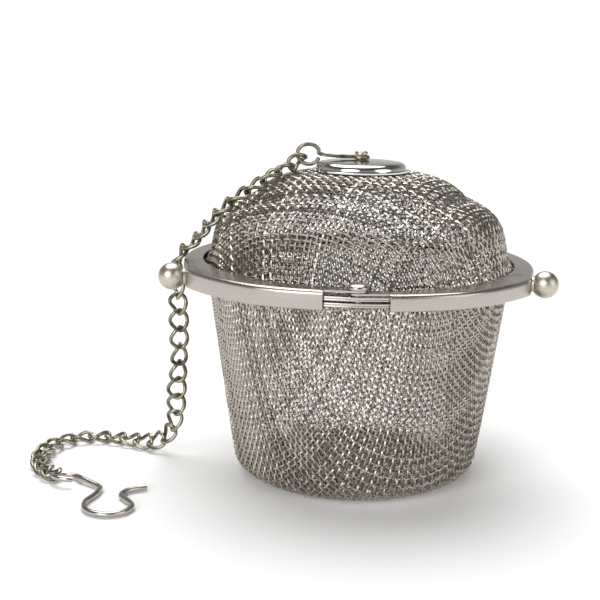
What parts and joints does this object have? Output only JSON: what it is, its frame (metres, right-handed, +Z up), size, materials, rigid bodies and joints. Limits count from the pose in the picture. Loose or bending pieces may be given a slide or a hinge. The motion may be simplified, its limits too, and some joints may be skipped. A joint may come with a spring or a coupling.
{
  "type": "tea infuser",
  "caption": "Round woven wire tea infuser: tapered basket, domed lid, two half-ring jaws on a front rivet, ball knobs, and a chain with a cup hook.",
  "frame": {"origin": "centre of the basket's flat bottom, on the surface it stands on", "axes": "+Z up, front with the pivot rivet at -Y, lid's knob and chain towards -X, basket's knob towards +X"},
  "size_m": [0.1132, 0.0751, 0.0726],
  "materials": {
    "cloth": "woven stainless wire, formed to shape",
    "rim": "folded and rolled stainless hem",
    "jaw": "pressed stainless sheet with a satin face",
    "knob": "turned and polished stainless ball",
    "cap": "pressed and mirror polished stainless",
    "rivet": "headed stainless rivet",
    "eye_wire": "bent stainless wire",
    "chain": "nickel plated curb chain",
    "hook_wire": "bent bright wire"
  },
  "bodies": {
    "basket": {"basket_mesh": "cloth", "basket_rim": "rim", "basket_jaw": "jaw", "basket_knob": "knob", "basket_knob_pin": "rivet", "pivot_rivet": "rivet"},
    "lid": {"lid_mesh": "cloth", "lid_rim": "rim", "lid_jaw": "jaw", "lid_knob": "knob", "lid_knob_pin": "rivet", "top_cap": "cap", "cap_washer": "rivet", "cap_post": "rivet"},
    "eye": {"swivel_eye": "eye_wire", "chain_link_01": "chain", "chain_link_02": "chain", "chain_link_03": "chain", "chain_link_04": "chain", "chain_link_05": "chain", "chain_link_06": "chain", "chain_link_07": "chain", "chain_link_08": "chain", "chain_link_09": "chain", "chain_link_10": "chain", "chain_link_11": "chain", "chain_link_12": "chain", "chain_link_13": "chain", "chain_link_14": "chain", "chain_link_15": "chain", "chain_link_16": "chain", "chain_link_17": "chain", "chain_link_18": "chain", "chain_link_19": "chain", "chain_link_20": "chain", "chain_link_21": "chain", "chain_link_22": "chain", "chain_link_23": "chain", "chain_link_24": "chain", "chain_link_25": "chain", "chain_link_26": "chain", "chain_link_27": "chain", "chain_link_28": "chain", "chain_link_29": "chain", "chain_link_30": "chain", "chain_link_31": "chain", "chain_link_32": "chain", "chain_link_33": "chain", "chain_link_34": "chain"},
    "hook": {"hook": "hook_wire"}
  },
  "joints": [
    {"name": "lid_swing", "type": "hinge", "parent": "basket", "child": "lid", "pos_m": [0, -0.0352, 0.0474], "axis": [0, 0, 1], "range_deg": [0, 120]},
    {"name": "eye_swivel", "type": "hinge", "parent": "lid", "child": "eye", "pos_m": [0, 0, 0.06915], "axis": [0, 0, 1], "range_deg": [-150, 0]},
    {"name": "hook_swing", "type": "hinge", "parent": "eye", "child": "hook", "pos_m": [-0.0636, -0.0154, 0.0014], "axis": [0, 0, 1], "range_deg": [-15, 6]}
  ]
}
